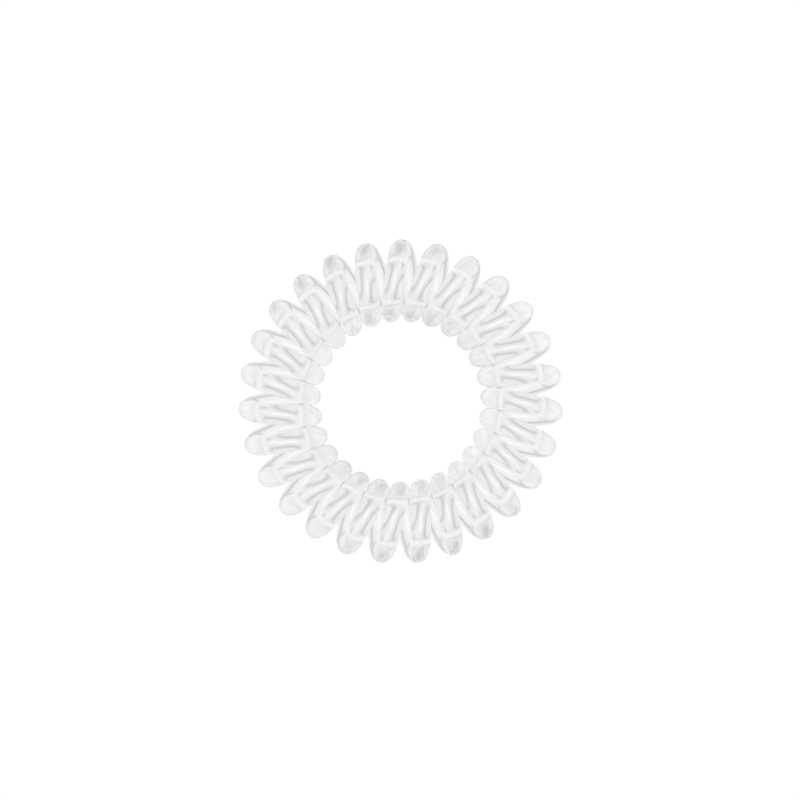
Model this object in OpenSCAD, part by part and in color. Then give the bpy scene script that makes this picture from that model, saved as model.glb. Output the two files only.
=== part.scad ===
// Spiral hair tie: one clear cord wound into a coil, bent into a closed ring and welded end to end.
// Millimetres. The ring lies flat: its axis is +Z, its turns stand on z = 0, and the origin is
// the middle of the ring on that plane.

/* [Ring] */
// Clear width of the hole that the hair goes through
hole_d = 19.6; // [16:0.1:26]
// Width of the coil that runs round the ring, over the cord on both sides
coil_w = 10.2; // [9:0.1:11]
// Height of the coil, which stands a little flattened
coil_h = 8.7; // [8:0.1:11]

/* [Cord] */
// Width of the cord, along the ring
cord_w = 2.55; // [2:0.05:3]
// Thickness of the cord, from the inside of the coil to its outside
cord_t = 2.85; // [2.4:0.05:3]
// Least gap between neighbouring turns, at the hole, where they stand closest
turn_gap = 0.03; // [0.02:0.01:0.4]

/* [Weld] */
// Direction from the middle of the ring to the welded turn, in degrees from +X
weld_turn_a = -3.8; // [-180:0.1:180]
// Place of the weld on that turn, in degrees round the coil from the turn's outermost point
weld_a = -22.5; // [-90:0.5:90]
// Width of the bead that the weld leaves, measured along the cord
weld_w = 0.7; // [0.4:0.05:1]
// Height of the bead above the cord
weld_h = 0.06; // [0.02:0.01:0.12]

/* [Smoothness] */
// Sides of the cord's section
cord_sides = 12; // [8, 12]
// Most sections along the whole cord, shared out between the turns
most_sections = 480; // [320:20:500]

/* [Hidden] */

// Half the width and half the height of a turn, from the coil's core line to the middle of the cord
turn_reach = (coil_w - cord_t) / 2;
turn_rise = (coil_h - cord_t) / 2;
// Radius of the core line, which runs round the ring through the middle of the coil
core_r = (hole_d + coil_w) / 2;
// Distance from the ring's axis to the middle of the cord where it passes the hole
inner_r = core_r - turn_reach;

// As many turns as stand side by side round the hole, each leaning by the coil's lead
upright_turns = 2 * PI * inner_r / (cord_w + turn_gap);
lead = atan(inner_r / (upright_turns * turn_rise));
turns = floor(upright_turns * cos(lead));

// Every turn has a section at its outermost, top, innermost and bottom point
most_quarter_steps = 5;
quarter_steps = min(most_quarter_steps, floor(most_sections / (4 * turns)));
step_a = 90 / quarter_steps;

// The weld stands at the section nearest to its place, and its bead ends half a width either side
weld_start_a = round(weld_a / step_a) * step_a;
weld_end_a = weld_start_a + 360 * turns;
bead_a = weld_w / 2 / norm([turn_reach * sin(weld_start_a), turn_rise * cos(weld_start_a)]) * 180 / PI;

// Unit vectors at an angle round the coil, which counts on from turn to turn: away from the
// ring's axis, along the ring, and square out from the flattened turn
function ring_out(a) = [cos(weld_turn_a + a / turns), sin(weld_turn_a + a / turns), 0];
function ring_along(a) = cross([0, 0, 1], ring_out(a));
function coil_out(a) =
    let (square = turn_rise * cos(a) * ring_out(a) + turn_reach * sin(a) * [0, 0, 1])
    square / norm(square);

// Middle of the cord at an angle round the coil
function cord_middle(a) =
    (core_r + turn_reach * cos(a)) * ring_out(a) + [0, 0, coil_h / 2 + turn_rise * sin(a)];

// Direction of the cord there, and the direction across it that stays level with the coil
function cord_along(a) =
    let (
        round_turn = turn_rise * cos(a) * [0, 0, 1] - turn_reach * sin(a) * ring_out(a),
        round_ring = (core_r + turn_reach * cos(a)) / turns * ring_along(a)
    )
    (round_turn + round_ring) / norm(round_turn + round_ring);
function cord_across(a) = cross(cord_along(a), coil_out(a));

// Points round the cord's oval section, swollen by some millimetres all round
function cord_section(a, swell) = [
    for (side = [0 : cord_sides - 1])
        let (b = side * 360 / cord_sides)
        cord_middle(a)
            + (cord_t / 2 + swell) * cos(b) * coil_out(a)
            + (cord_w / 2 + swell) * sin(b) * cord_across(a)
];

// Angle and swelling of each section, from the crest of the weld once round to its other side
sections = concat(
    [[weld_start_a, weld_h], [weld_start_a + bead_a, 0]],
    [for (a = [weld_start_a + step_a : step_a : weld_end_a - step_a / 2]) [a, 0]],
    [[weld_end_a - bead_a, 0]]
);

// Two triangles for each side between a section and the next, with the last joined to the first
function skin(count) = [
    for (i = [0 : count - 1], side = [0 : cord_sides - 1])
        let (
            here = i * cord_sides,
            next = (i + 1) % count * cord_sides,
            turned = (side + 1) % cord_sides
        )
        each [
            [here + side, next + side, next + turned],
            [here + side, next + turned, here + turned]
        ]
];

module coil() {
    color([0.93, 0.94, 0.95, 0.5])
        polyhedron(
            points = [for (s = sections) each cord_section(s[0], s[1])],
            faces = skin(len(sections)),
            convexity = 20
        );
}

coil();
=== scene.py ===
"""Clear spiral hair tie, lying flat on a white table under soft studio light.

The tie is one thick cord of clear plastic, wound into a coil, bent into a ring and
welded end to end. Its coil replaces the faceted one of the frame, turn for turn.
All lengths are in metres, in the frame's own axes: the ring's axis is +Z.
"""

import logging
import math
from dataclasses import dataclass, field
from enum import Enum
from typing import Any

import bpy
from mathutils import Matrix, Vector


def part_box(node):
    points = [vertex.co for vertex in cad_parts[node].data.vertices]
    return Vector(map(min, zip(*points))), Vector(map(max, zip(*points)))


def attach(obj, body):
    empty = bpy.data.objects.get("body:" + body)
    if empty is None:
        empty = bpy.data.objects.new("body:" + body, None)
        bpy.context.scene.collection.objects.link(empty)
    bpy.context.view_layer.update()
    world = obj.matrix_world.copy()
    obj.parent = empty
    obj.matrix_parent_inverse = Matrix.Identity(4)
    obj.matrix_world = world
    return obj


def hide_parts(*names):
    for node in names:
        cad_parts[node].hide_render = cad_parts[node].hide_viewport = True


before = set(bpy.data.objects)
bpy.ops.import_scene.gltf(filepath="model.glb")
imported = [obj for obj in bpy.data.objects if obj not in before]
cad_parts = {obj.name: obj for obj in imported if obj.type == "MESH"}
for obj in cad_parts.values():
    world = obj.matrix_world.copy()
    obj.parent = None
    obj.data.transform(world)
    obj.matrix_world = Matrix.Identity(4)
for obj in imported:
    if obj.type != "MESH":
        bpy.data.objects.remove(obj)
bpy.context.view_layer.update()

LOG = logging.getLogger("hair_tie")
MM = 0.001
WHITE = "#FFFFFF"

# The sRGB curve: a straight line up to its knee, and a power law above it.
SRGB_KNEE = 0.04045
SRGB_SLOPE = 12.92
SRGB_OFFSET = 0.055
SRGB_POWER = 2.4

# The type name of the node that does one sum, which its operation names.
MATH = "ShaderNodeMath"
# Layer Weight's blend at which its facing is 1 less the cosine of the slant.
EVEN_BLEND = 0.5
# Stands for 1 where a difference from 1 is divided by, so that it never becomes 0.
JUST_OVER_ONE = 1.0001

# A curve through some stops: pairs of a value and the level there, by rising value.
Profile = tuple[tuple[float, float], ...]


def linear(hex_colour: str) -> tuple[float, float, float, float]:
    """Turns an sRGB hex colour into the linear RGBA that the shaders take.

    Args:
        hex_colour: A hash and six hex digits.

    Returns:
        Linear red, green and blue, and an alpha of 1.
    """
    channels = [byte / 255 for byte in bytes.fromhex(hex_colour.lstrip("#"))]
    red, green, blue = (
        channel / SRGB_SLOPE
        if channel <= SRGB_KNEE
        else ((channel + SRGB_OFFSET) / (1 + SRGB_OFFSET)) ** SRGB_POWER
        for channel in channels
    )
    return red, green, blue, 1.0


def empty_tree(owner: bpy.types.Material | bpy.types.World) -> bpy.types.NodeTree:
    """Turns on the nodes of a material or world, and takes away those it comes with.

    Args:
        owner: The material or world.

    Returns:
        Its node tree, without any node.
    """
    owner.use_nodes = True
    owner.node_tree.nodes.clear()
    return owner.node_tree


def add_node(
    tree: bpy.types.NodeTree,
    kind: str,
    inputs: dict[str | int, Any] | None = None,
    **settings: Any,
) -> bpy.types.Node:
    """Adds a node, sets its properties and fills or links its inputs.

    Args:
        tree: The node tree that the node goes into.
        kind: The node's type name.
        inputs: What each input takes, by its name or place: a value, the socket to
            link from, or a node, whose first output is linked.
        **settings: The node's own properties.

    Returns:
        The new node.
    """
    node = tree.nodes.new(kind)
    for name, value in settings.items():
        setattr(node, name, value)
    for key, value in (inputs or {}).items():
        source = value.outputs[0] if isinstance(value, bpy.types.Node) else value
        if isinstance(source, bpy.types.NodeSocket):
            tree.links.new(source, node.inputs[key])
        else:
            node.inputs[key].default_value = source
    return node


def add_profile(
    tree: bpy.types.NodeTree, value: bpy.types.Node, profile: Profile
) -> bpy.types.Node:
    """Adds nodes that turn a value into a level, soft from each stop to the next.

    Args:
        tree: The node tree that the nodes go into.
        value: The node that gives the value.
        profile: The stops and their levels, of which there are at least two.

    Returns:
        The node that gives the level.
    """
    level: Any = profile[0][1]
    for (start, low), (end, high) in zip(profile, profile[1:]):
        change = add_node(
            tree,
            "ShaderNodeMapRange",
            {"Value": value, "From Min": start, "From Max": end, "To Max": high - low},
            interpolation_type="SMOOTHSTEP",
        )
        level = add_node(tree, MATH, {0: change, 1: level}, operation="ADD")
    return level


def add_object(name: str, data: bpy.types.Mesh | bpy.types.Camera) -> bpy.types.Object:
    """Puts a new object into the scene, at the origin.

    Args:
        name: The object's name.
        data: Its mesh or camera.

    Returns:
        The new object.
    """
    thing = bpy.data.objects.new(name, data)
    bpy.context.scene.collection.objects.link(thing)
    return thing


class Winding(Enum):
    """The way the coil is wound.

    The value is the sign of its way round the ring, counted anticlockwise from above,
    where its turns run up on the outside and down on the inside.
    """

    LEFT_HANDED = 1
    RIGHT_HANDED = -1


class Attribute(Enum):
    """Values that the cord's mesh carries for its material."""

    WELD = "weld"


@dataclass(frozen=True)
class ClearPolyurethane:
    """Clear thermoplastic polyurethane, extruded as a cord and wound on a hot rod.

    The eye sees a water-clear cord that bends what lies behind it. Winding leaves its
    surface faintly wavy, a thin bloom softens part of the light that goes through, and
    the weld is cloudy.
    """

    name: str = "clear_thermoplastic_polyurethane"
    tint: str = "#FBFBFB"
    ior: float = 1.48
    roughness: float = 0.05
    weld_roughness: float = 0.35
    bloom_share: float = 0.27
    bloom_roughness: float = 0.28
    wave_length: float = 3.0 * MM
    wave_depth: float = 0.16 * MM
    wave_detail: float = 1.0

    def build(self) -> bpy.types.Material:
        """Makes the material.

        Returns:
            The finished material, on Object coordinates and the weld attribute.
        """
        material = bpy.data.materials.new(self.name)
        tree = empty_tree(material)
        place = add_node(tree, "ShaderNodeTexCoord").outputs["Object"]
        waves = add_node(
            tree,
            "ShaderNodeTexNoise",
            {
                "Vector": place,
                "Scale": 1 / self.wave_length,
                "Detail": self.wave_detail,
            },
        )
        bump = add_node(
            tree,
            "ShaderNodeBump",
            {"Height": waves, "Distance": self.wave_depth, "Strength": 1.0},
        )
        weld = add_node(
            tree,
            "ShaderNodeAttribute",
            attribute_type="GEOMETRY",
            attribute_name=Attribute.WELD.value,
        ).outputs["Fac"]
        roughness = add_node(
            tree,
            "ShaderNodeMapRange",
            {"Value": weld, "To Min": self.roughness, "To Max": self.weld_roughness},
        )
        clear, soft = (
            add_node(
                tree,
                "ShaderNodeBsdfPrincipled",
                {
                    "Base Color": linear(self.tint),
                    "Roughness": level,
                    "IOR": self.ior,
                    "Transmission Weight": 1.0,
                    "Normal": bump,
                },
            )
            for level in (roughness, self.bloom_roughness)
        )
        surface = add_node(
            tree, "ShaderNodeMixShader", {0: self.bloom_share, 1: clear, 2: soft}
        )
        add_node(tree, "ShaderNodeOutputMaterial", {"Surface": surface})
        return material


@dataclass
class WoundCord:
    """The tie itself: one closed cord of oval section, wound round and round a ring.

    The height of the frame's box is the coil's height. The other sizes repeat the
    frame's driving dimensions, which its box alone doesn't give. The bead's rounding is
    a share of its height, and the haze's reach counts in half widths of the bead.
    """

    hole_diameter: float = 19.6 * MM
    coil_width: float = 10.2 * MM
    cord_width: float = 2.55 * MM
    cord_thickness: float = 2.85 * MM
    turns: int = 27
    winding: Winding = Winding.LEFT_HANDED
    first_turn_angle: float = math.radians(-3.8)
    weld_angle: float = math.radians(-22.5)
    weld_width: float = 0.7 * MM
    weld_height: float = 0.06 * MM
    weld_rounding: float = 0.2
    haze_reach: float = 3.0
    steps_per_turn: int = 80
    cord_sides: int = 36
    finish: ClearPolyurethane = field(default_factory=ClearPolyurethane)

    @property
    def coil_height(self) -> float:
        """Height of the coil, which is the height of the frame's box."""
        low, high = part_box("coil")
        return high[2] - low[2]

    def sizes(self) -> dict[str, int | float]:
        """Gives the node tree's named inputs.

        Returns:
            The value of each input, with the counts as whole numbers.
        """
        return {
            "Turns": self.turns,
            "Steps per Turn": self.steps_per_turn,
            "Cord Sides": self.cord_sides,
            "Core Radius": (self.hole_diameter + self.coil_width) / 2,
            "Core Height": self.coil_height / 2,
            "Turn Reach": (self.coil_width - self.cord_thickness) / 2,
            "Turn Rise": (self.coil_height - self.cord_thickness) / 2,
            "Cord Width": self.cord_width,
            "Cord Thickness": self.cord_thickness,
            "First Turn Angle": self.first_turn_angle,
            "Winding": float(self.winding.value),
            "Weld Angle": self.weld_angle,
            "Weld Width": self.weld_width,
            "Weld Height": self.weld_height,
            "Weld Rounding": self.weld_rounding,
            "Haze Reach": self.haze_reach,
        }

    @staticmethod
    def add_path(
        tree: bpy.types.NodeTree, sizes: Any, round_coil: bpy.types.Node
    ) -> tuple[bpy.types.Node, bpy.types.Node]:
        """Adds the nodes that wind the cord's middle line round the ring.

        Args:
            tree: The node tree that the nodes go into.
            sizes: The tree's named inputs.
            round_coil: The node that gives the angle round the coil, in radians, which
                counts on from turn to turn.

        Returns:
            The nodes that give the place there and the way square out from the turn.
        """
        ring_share = add_node(
            tree, MATH, {0: round_coil, 1: sizes["Turns"]}, operation="DIVIDE"
        )
        round_ring = add_node(
            tree,
            MATH,
            {0: ring_share, 1: sizes["Winding"], 2: sizes["First Turn Angle"]},
            operation="MULTIPLY_ADD",
        )
        turn_cosine, ring_cosine = (
            add_node(tree, MATH, {0: angle}, operation="COSINE")
            for angle in (round_coil, round_ring)
        )
        turn_sine, ring_sine = (
            add_node(tree, MATH, {0: angle}, operation="SINE")
            for angle in (round_coil, round_ring)
        )

        def placed(out: bpy.types.Node, up: bpy.types.Node) -> bpy.types.Node:
            """Turns a distance out from the ring's axis and a height into a vector."""
            x, y = (
                add_node(tree, MATH, {0: out, 1: share}, operation="MULTIPLY")
                for share in (ring_cosine, ring_sine)
            )
            return add_node(tree, "ShaderNodeCombineXYZ", {"X": x, "Y": y, "Z": up})

        middle_out, middle_up = (
            add_node(
                tree,
                MATH,
                {0: share, 1: sizes[half], 2: sizes[core]},
                operation="MULTIPLY_ADD",
            )
            for share, half, core in (
                (turn_cosine, "Turn Reach", "Core Radius"),
                (turn_sine, "Turn Rise", "Core Height"),
            )
        )
        square_out, square_up = (
            add_node(tree, MATH, {0: share, 1: sizes[half]}, operation="MULTIPLY")
            for share, half in ((turn_cosine, "Turn Rise"), (turn_sine, "Turn Reach"))
        )
        return placed(middle_out, middle_up), placed(square_out, square_up)

    @staticmethod
    def add_weld(
        tree: bpy.types.NodeTree, sizes: Any, round_coil: bpy.types.Node
    ) -> tuple[bpy.types.Node, bpy.types.Node]:
        """Adds the nodes that swell and cloud the cord at its weld.

        Args:
            tree: The node tree that the nodes go into.
            sizes: The tree's named inputs.
            round_coil: The node that gives the angle round the coil, in radians.

        Returns:
            The nodes that give the section's scale and the weld's haze, from 0 to 1.
        """
        # Distance from the weld, the short way, in half widths of its bead.
        half_way = add_node(
            tree, MATH, {0: sizes["Turns"], 1: math.pi}, operation="MULTIPLY"
        )
        past_weld = add_node(
            tree, MATH, {0: round_coil, 1: sizes["Weld Angle"]}, operation="SUBTRACT"
        )
        from_weld = add_node(
            tree, MATH, {0: past_weld, 1: half_way}, operation="PINGPONG"
        )
        along = add_node(
            tree, MATH, {0: from_weld, 1: sizes["Turn Rise"]}, operation="MULTIPLY"
        )
        half_bead, half_cord = (
            add_node(tree, MATH, {0: sizes[width], 1: 2}, operation="DIVIDE")
            for width in ("Weld Width", "Cord Width")
        )
        widths = add_node(tree, MATH, {0: along, 1: half_bead}, operation="DIVIDE")

        # A round bead that runs out into the cord.
        squared = add_node(tree, MATH, {0: widths, 1: 2}, operation="POWER")
        arc = add_node(tree, MATH, {0: 1, 1: squared}, operation="SUBTRACT")
        bead = add_node(
            tree,
            MATH,
            {0: arc, 1: 0, 2: sizes["Weld Rounding"]},
            operation="SMOOTH_MAX",
        )
        swell = add_node(
            tree, MATH, {0: sizes["Weld Height"], 1: half_cord}, operation="DIVIDE"
        )
        scale = add_node(
            tree, MATH, {0: bead, 1: swell, 2: 1}, operation="MULTIPLY_ADD"
        )
        haze = add_node(
            tree,
            "ShaderNodeMapRange",
            {
                "Value": widths,
                "From Min": 1,
                "From Max": sizes["Haze Reach"],
                "To Min": 1,
                "To Max": 0,
            },
            interpolation_type="SMOOTHSTEP",
        )
        return scale, haze

    def node_tree(self, material: bpy.types.Material) -> bpy.types.GeometryNodeTree:
        """Builds the Geometry Nodes tree that winds the cord.

        A circle with one point for each step is moved onto the middle line, and an oval
        section is swept along it, its thickness always square to the flattened turn.

        Args:
            material: What the finished mesh is made of.

        Returns:
            The node tree, whose inputs are the cord's sizes.
        """
        tree = bpy.data.node_groups.new("wound_cord", "GeometryNodeTree")
        for name, value in self.sizes().items():
            kind = "NodeSocketInt" if isinstance(value, int) else "NodeSocketFloat"
            tree.interface.new_socket(name, in_out="INPUT", socket_type=kind)
        tree.interface.new_socket(
            "Geometry", in_out="OUTPUT", socket_type="NodeSocketGeometry"
        )
        sizes = add_node(tree, "NodeGroupInput").outputs

        steps = add_node(
            tree,
            MATH,
            {0: sizes["Turns"], 1: sizes["Steps per Turn"]},
            operation="MULTIPLY",
        )
        index = add_node(tree, "GeometryNodeInputIndex")
        turn = add_node(
            tree, MATH, {0: index, 1: sizes["Steps per Turn"]}, operation="DIVIDE"
        )
        round_coil = add_node(tree, MATH, {0: turn, 1: math.tau}, operation="MULTIPLY")
        middle, square_out = self.add_path(tree, sizes, round_coil)
        scale, haze = self.add_weld(tree, sizes, round_coil)

        ring = add_node(tree, "GeometryNodeCurvePrimitiveCircle", {"Resolution": steps})
        line = add_node(
            tree, "GeometryNodeSetPosition", {"Geometry": ring, "Position": middle}
        )
        upright = add_node(
            tree,
            "GeometryNodeSetCurveNormal",
            {"Curve": line, "Normal": square_out},
            mode="FREE",
        )
        welded = add_node(
            tree,
            "GeometryNodeStoreNamedAttribute",
            {"Geometry": upright, "Name": Attribute.WELD.value, "Value": haze},
            data_type="FLOAT",
            domain="POINT",
        )
        # The section is a circle 1 across, scaled to the cord's thickness and width.
        circle = add_node(
            tree,
            "GeometryNodeCurvePrimitiveCircle",
            {"Resolution": sizes["Cord Sides"], "Radius": 0.5},
        )
        oval = add_node(
            tree,
            "ShaderNodeCombineXYZ",
            {"X": sizes["Cord Thickness"], "Y": sizes["Cord Width"], "Z": 1.0},
        )
        section = add_node(
            tree, "GeometryNodeTransform", {"Geometry": circle, "Scale": oval}
        )
        skin = add_node(
            tree,
            "GeometryNodeCurveToMesh",
            {"Curve": welded, "Profile Curve": section, "Scale": scale},
        )
        smooth = add_node(tree, "GeometryNodeSetShadeSmooth", {"Geometry": skin})
        real = add_node(tree, "GeometryNodeRealizeInstances", {"Geometry": smooth})
        dressed = add_node(
            tree, "GeometryNodeSetMaterial", {"Geometry": real, "Material": material}
        )
        add_node(tree, "NodeGroupOutput", {"Geometry": dressed})
        return tree

    def build(self) -> bpy.types.Object:
        """Winds the cord and lets it stand for the frame's coil.

        Returns:
            The cord's object, at the origin, with a plain mesh.
        """
        tree = self.node_tree(self.finish.build())
        blank = add_object("winding", bpy.data.meshes.new("winding"))
        modifier = blank.modifiers.new("wound_cord", "NODES")
        modifier.node_group = tree
        values = self.sizes()
        for item in tree.interface.items_tree:
            if item.in_out == "INPUT":
                modifier[item.identifier] = values[item.name]
        graph = bpy.context.evaluated_depsgraph_get()
        mesh = bpy.data.meshes.new_from_object(blank.evaluated_get(graph))
        bpy.data.objects.remove(blank)
        mesh.name = "wound_cord"
        cord = add_object("wound_cord", mesh)
        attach(cord, "root")
        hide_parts("coil")
        return cord


@dataclass(frozen=True)
class LitAcrylic:
    """White acrylic sheet over a light panel.

    It glows paper white straight on. Its glow by slant is painted: dimmer aslant, a
    painted shade, and lighter again at low angles, a painted sheen of the room, as the
    sheet only glows and reflects nothing. The glow is a profile over the slant in
    degrees, counted from straight on.
    """

    name: str = "lit_acrylic_with_painted_shade_and_sheen"
    colour: str = WHITE
    glow: Profile = (
        (3.2, 1.03),
        (4.8, 0.94),
        (10.0, 0.93),
        (18.0, 0.90),
        (27.0, 0.56),
        (35.0, 0.86),
        (45.0, 0.86),
        (56.0, 0.95),
    )

    def build(self) -> bpy.types.Material:
        """Makes the material.

        Returns:
            The finished material, whose glow, with its painted shade and sheen, depends
            on the slant that it is seen at.
        """
        material = bpy.data.materials.new(self.name)
        tree = empty_tree(material)
        # Painted shade and sheen: the glow is set by the slant it is seen at, not by
        # any reflection.
        weight = add_node(tree, "ShaderNodeLayerWeight", {"Blend": EVEN_BLEND})
        facing = weight.outputs["Facing"]
        cosine = add_node(tree, MATH, {0: 1.0, 1: facing}, operation="SUBTRACT")
        angle = add_node(tree, MATH, {0: cosine}, operation="ARCCOSINE")
        slant = add_node(tree, MATH, {0: angle}, operation="DEGREES")
        sheet = add_node(
            tree,
            "ShaderNodeEmission",
            {
                "Color": linear(self.colour),
                "Strength": add_profile(tree, slant, self.glow),
            },
        )
        add_node(tree, "ShaderNodeOutputMaterial", {"Surface": sheet})
        return material


@dataclass
class Studio:
    """A white light table in a pale room, with wide soft boxes left and right.

    Light is given as radiance, where 1 is paper white in the picture. The room's light
    and the boxes' contrast are profiles over the elevation in degrees. The share of the
    contrast that is added, or taken off where it is negative, is a profile over the
    nearness round to a box: 1 at either box and 0 half way between.
    """

    table_size: float = 3.0
    light_paths: int = 400
    room: Profile = (
        (0.0, 0.96),
        (12.0, 1.08),
        (26.0, 1.08),
        (46.0, 0.82),
        (80.0, 0.76),
    )
    boxes: Profile = ((0.0, 0.0), (17.0, 0.41), (37.0, 0.41), (90.0, 0.0))
    around: Profile = ((0.0, -1.0), (0.7, 0.35))
    box_direction: float = math.radians(8.0)
    sheet: LitAcrylic = field(default_factory=LitAcrylic)

    def build_table(self) -> bpy.types.Object:
        """Makes the plain white table top that the tie lies on.

        Returns:
            The table top.
        """
        half = self.table_size / 2
        corners = [
            (-half, -half, 0),
            (half, -half, 0),
            (half, half, 0),
            (-half, half, 0),
        ]
        mesh = bpy.data.meshes.new("table_top")
        mesh.from_pydata(corners, [], [(0, 1, 2, 3)])
        mesh.materials.append(self.sheet.build())
        table = add_object("table_top", mesh)
        return table

    def build_light(self) -> bpy.types.World:
        """Makes the soft light of the room, by the direction that it comes from.

        Returns:
            The world, which is also set as the scene's.
        """
        world = bpy.data.worlds.new("soft_studio")
        bpy.context.scene.world = world
        tree = empty_tree(world)
        way = add_node(tree, "ShaderNodeTexCoord").outputs["Generated"]
        up = add_node(tree, "ShaderNodeSeparateXYZ", {"Vector": way}).outputs["Z"]
        angle = add_node(tree, MATH, {0: up}, operation="ARCSINE")
        elevation = add_node(tree, MATH, {0: angle}, operation="DEGREES")

        # Nearness is the squared cosine of the angle round from the boxes' line.
        box_way = (math.cos(self.box_direction), math.sin(self.box_direction), 0.0)
        across = add_node(
            tree, "ShaderNodeVectorMath", {0: way, 1: box_way}, operation="DOT_PRODUCT"
        ).outputs["Value"]
        across_squared, up_squared = (
            add_node(tree, MATH, {0: share, 1: share}, operation="MULTIPLY")
            for share in (across, up)
        )
        level_squared = add_node(
            tree, MATH, {0: JUST_OVER_ONE, 1: up_squared}, operation="SUBTRACT"
        )
        nearness = add_node(
            tree, MATH, {0: across_squared, 1: level_squared}, operation="DIVIDE"
        )

        room = add_profile(tree, elevation, self.room)
        contrast = add_node(
            tree,
            MATH,
            {
                0: add_profile(tree, nearness, self.around),
                1: add_profile(tree, elevation, self.boxes),
            },
            operation="MULTIPLY",
        )
        light = add_node(tree, MATH, {0: room, 1: contrast}, operation="ADD")
        background = add_node(
            tree, "ShaderNodeBackground", {"Color": linear(WHITE), "Strength": light}
        )
        add_node(tree, "ShaderNodeOutputWorld", {"Surface": background})
        return world

    def set_light_paths(self) -> None:
        """Lets light run on inside the cord, which pipes it through many turns."""
        paths = bpy.context.scene.cycles
        paths.max_bounces = self.light_paths
        paths.transmission_bounces = self.light_paths
        paths.glossy_bounces = self.light_paths
        paths.blur_glossy = 0.0

    def show_plain_colours(self) -> None:
        """Shows a radiance of 1 as paper white, without a film curve."""
        bpy.context.scene.view_settings.view_transform = "Standard"


@dataclass
class PhotoCamera:
    """A long lens straight above the ring, as the photograph shows it.

    The image's size and the ring's centre in it are in pixels, and the sensor's width,
    as Blender takes it, is in millimetres.
    """

    image_width: int = 800
    image_height: int = 801
    pixel: float = 0.12304 * MM
    centre_column: float = 400.64
    centre_row: float = 401.59
    distance: float = 1.5
    sensor: float = 36.0

    def build(self, height: float) -> bpy.types.Object:
        """Sets the scene's camera.

        Args:
            height: Height above the table at which a pixel covers its stated width.

        Returns:
            The camera.
        """
        data = bpy.data.cameras.new("photo_camera")
        data.sensor_fit = "HORIZONTAL"
        data.sensor_width = self.sensor
        data.lens = self.sensor * self.distance / (self.pixel * self.image_width)
        data.clip_end = 2 * self.distance
        camera = add_object("photo_camera", data)
        camera.location = (
            (self.image_width / 2 - self.centre_column) * self.pixel,
            (self.centre_row - self.image_height / 2) * self.pixel,
            height + self.distance,
        )
        bpy.context.scene.camera = camera
        return camera


def main() -> None:
    """Builds the tie, its table, light and camera, and reports each."""
    logging.basicConfig(level=logging.INFO, format="%(name)s: %(message)s")
    tie = WoundCord()
    cord = tie.build()
    triangles = sum(len(face.vertices) - 2 for face in cord.data.polygons)
    LOG.info("%s: %d turns, %d triangles", cord.name, tie.turns, triangles)

    studio = Studio()
    table = studio.build_table()
    LOG.info("%s: %.1f m wide", table.name, studio.table_size)
    world = studio.build_light()
    studio.set_light_paths()
    studio.show_plain_colours()
    LOG.info("%s: %d bounces of light", world.name, studio.light_paths)

    camera = PhotoCamera().build(tie.coil_height / 2)
    LOG.info("%s: lens of %.0f mm", camera.name, camera.data.lens)


if __name__ == "__main__":
    main()
